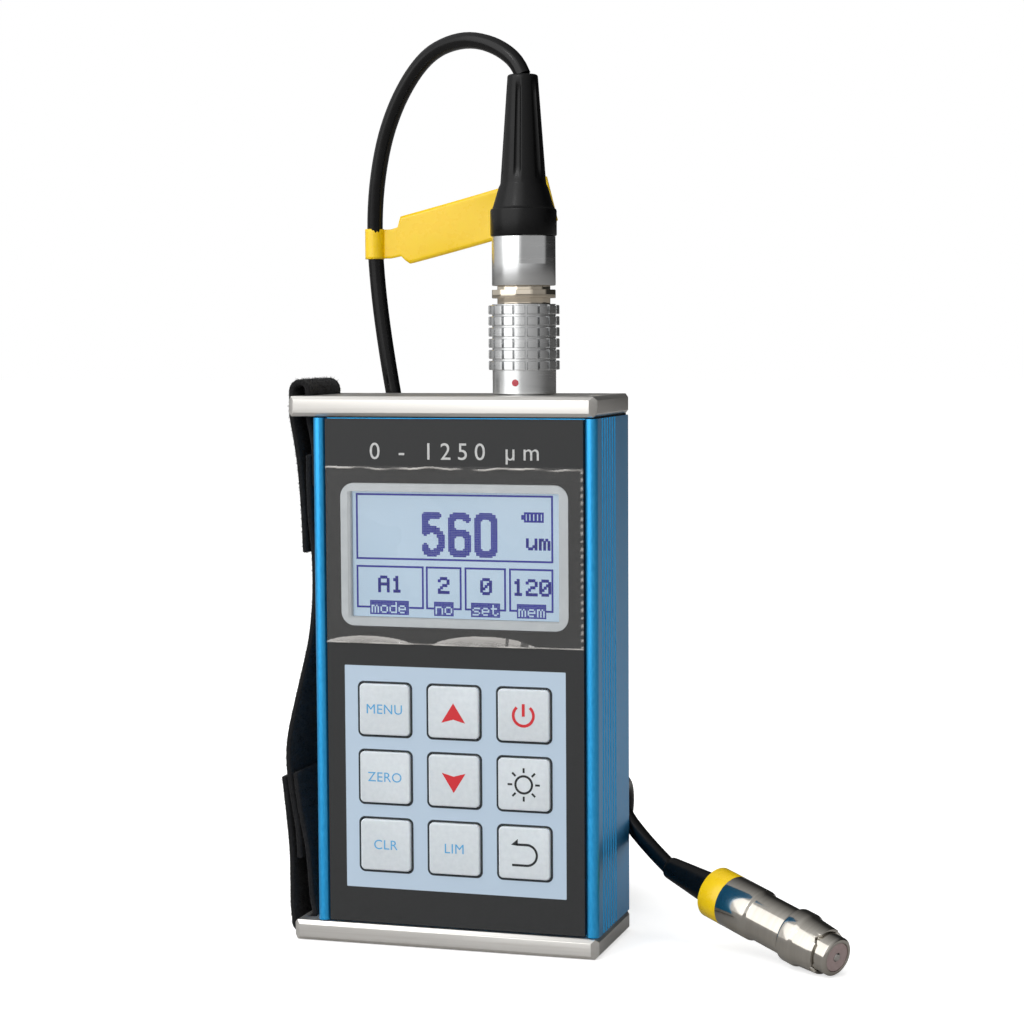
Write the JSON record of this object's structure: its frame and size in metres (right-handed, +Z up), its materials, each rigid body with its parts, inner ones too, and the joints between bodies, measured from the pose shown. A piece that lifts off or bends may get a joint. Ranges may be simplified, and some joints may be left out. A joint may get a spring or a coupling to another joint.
{
  "type": "coating thickness gauge",
  "caption": "Hand-held coating thickness gauge: blue extruded case with display, push keys, side hand strap and a sprung probe on a coiled lead with a push-pull plug.",
  "frame": {"origin": "middle of the bottom plate's underside, below the middle of the extruded body", "axes": "+X to the right of the display, +Y from the display to the back, +Z up through the top plate and plug"},
  "size_m": [0.1274, 0.0805, 0.1994],
  "materials": {
    "anodised": "satin anodised",
    "plate": "brushed",
    "gasket": "matte",
    "screw": "satin",
    "panel": "matte",
    "overlay": "fine matte",
    "film": "clear film",
    "window": "clear",
    "lcd_frame": "satin",
    "lcd": "lit display",
    "backlight": "matte",
    "key": "satin",
    "switch": "satin",
    "board": "solder mask",
    "post": "turned",
    "chip": "matte",
    "holder": "moulded",
    "cell": "gloss",
    "contact": "nickel",
    "connector": "satin",
    "nickel": "polished",
    "insulator": "moulded",
    "dot": "gloss",
    "boot": "matte",
    "cable": "satin",
    "tie": "woven",
    "label": "gloss",
    "probe_steel": "polished",
    "potting": "satin",
    "tip": "polished",
    "winding": "enamelled",
    "spring": "satin",
    "strap": "hook and loop webbing"
  },
  "bodies": {
    "gauge": {"body_shell": "anodised", "top_plate": "plate", "bottom_plate": "plate", "top_gasket": "gasket", "bottom_gasket": "gasket", "top_plate_screws": "screw", "bottom_plate_screws": "screw", "front_panel": "panel", "front_overlay": "overlay", "screen_film": "film", "display_window": "window", "lcd_frame": "lcd_frame", "lcd_panel": "lcd", "backlight_panel": "backlight", "key_switches": "switch", "main_board": "board", "board_posts": "post", "board_chips": "chip", "buzzer": "chip", "battery_holder": "holder", "battery_cells": "cell", "battery_contacts": "contact", "socket_shell": "connector", "socket_nut": "connector", "plug_body": "connector", "collet_nut": "connector", "plug_ring": "nickel", "socket_insert": "insulator", "plug_insert": "insulator", "plug_boot": "boot", "probe_boot": "boot", "cable_upper": "cable", "cable_lower": "cable", "cable_coil": "cable", "coil_tie": "tie", "cable_flag": "label", "probe_band": "label", "probe_housing": "probe_steel", "probe_cap": "probe_steel", "probe_spring": "spring", "strap_top_tab": "strap", "strap_bottom_tab": "strap", "strap_band": "strap"},
    "menu_key": {"key_menu": "key"},
    "up_key": {"key_up": "key"},
    "power_key": {"key_power": "key"},
    "zero_key": {"key_zero": "key"},
    "down_key": {"key_down": "key"},
    "light_key": {"key_light": "key"},
    "clear_key": {"key_clear": "key"},
    "limit_key": {"key_limit": "key"},
    "return_key": {"key_return": "key"},
    "release_sleeve": {"plug_sleeve": "connector", "plug_dot": "dot"},
    "probe_plunger": {"probe_nose": "probe_steel", "probe_face": "potting", "probe_tip": "tip", "probe_winding": "winding"}
  },
  "joints": [
    {"name": "menu_key_press", "type": "slide", "parent": "gauge", "child": "menu_key", "axis": [0, 1, 0], "range_m": [0, 0.0005], "stiffness_N_per_m": 400},
    {"name": "up_key_press", "type": "slide", "parent": "gauge", "child": "up_key", "axis": [0, 1, 0], "range_m": [0, 0.0005], "stiffness_N_per_m": 400},
    {"name": "power_key_press", "type": "slide", "parent": "gauge", "child": "power_key", "axis": [0, 1, 0], "range_m": [0, 0.0005], "stiffness_N_per_m": 400},
    {"name": "zero_key_press", "type": "slide", "parent": "gauge", "child": "zero_key", "axis": [0, 1, 0], "range_m": [0, 0.0005], "stiffness_N_per_m": 400},
    {"name": "down_key_press", "type": "slide", "parent": "gauge", "child": "down_key", "axis": [0, 1, 0], "range_m": [0, 0.0005], "stiffness_N_per_m": 400},
    {"name": "light_key_press", "type": "slide", "parent": "gauge", "child": "light_key", "axis": [0, 1, 0], "range_m": [0, 0.0005], "stiffness_N_per_m": 400},
    {"name": "clear_key_press", "type": "slide", "parent": "gauge", "child": "clear_key", "axis": [0, 1, 0], "range_m": [0, 0.0005], "stiffness_N_per_m": 400},
    {"name": "limit_key_press", "type": "slide", "parent": "gauge", "child": "limit_key", "axis": [0, 1, 0], "range_m": [0, 0.0005], "stiffness_N_per_m": 400},
    {"name": "return_key_press", "type": "slide", "parent": "gauge", "child": "return_key", "axis": [0, 1, 0], "range_m": [0, 0.0005], "stiffness_N_per_m": 400},
    {"name": "release_sleeve_slide", "type": "slide", "parent": "gauge", "child": "release_sleeve", "axis": [0, 0, 1], "range_m": [0, 0.001], "stiffness_N_per_m": 600},
    {"name": "probe_plunger_press", "type": "slide", "parent": "gauge", "child": "probe_plunger", "axis": [-0.8279, 0.5174, 0.2164], "range_m": [0, 0.0022], "stiffness_N_per_m": 500, "deforming": ["probe_spring"]}
  ]
}
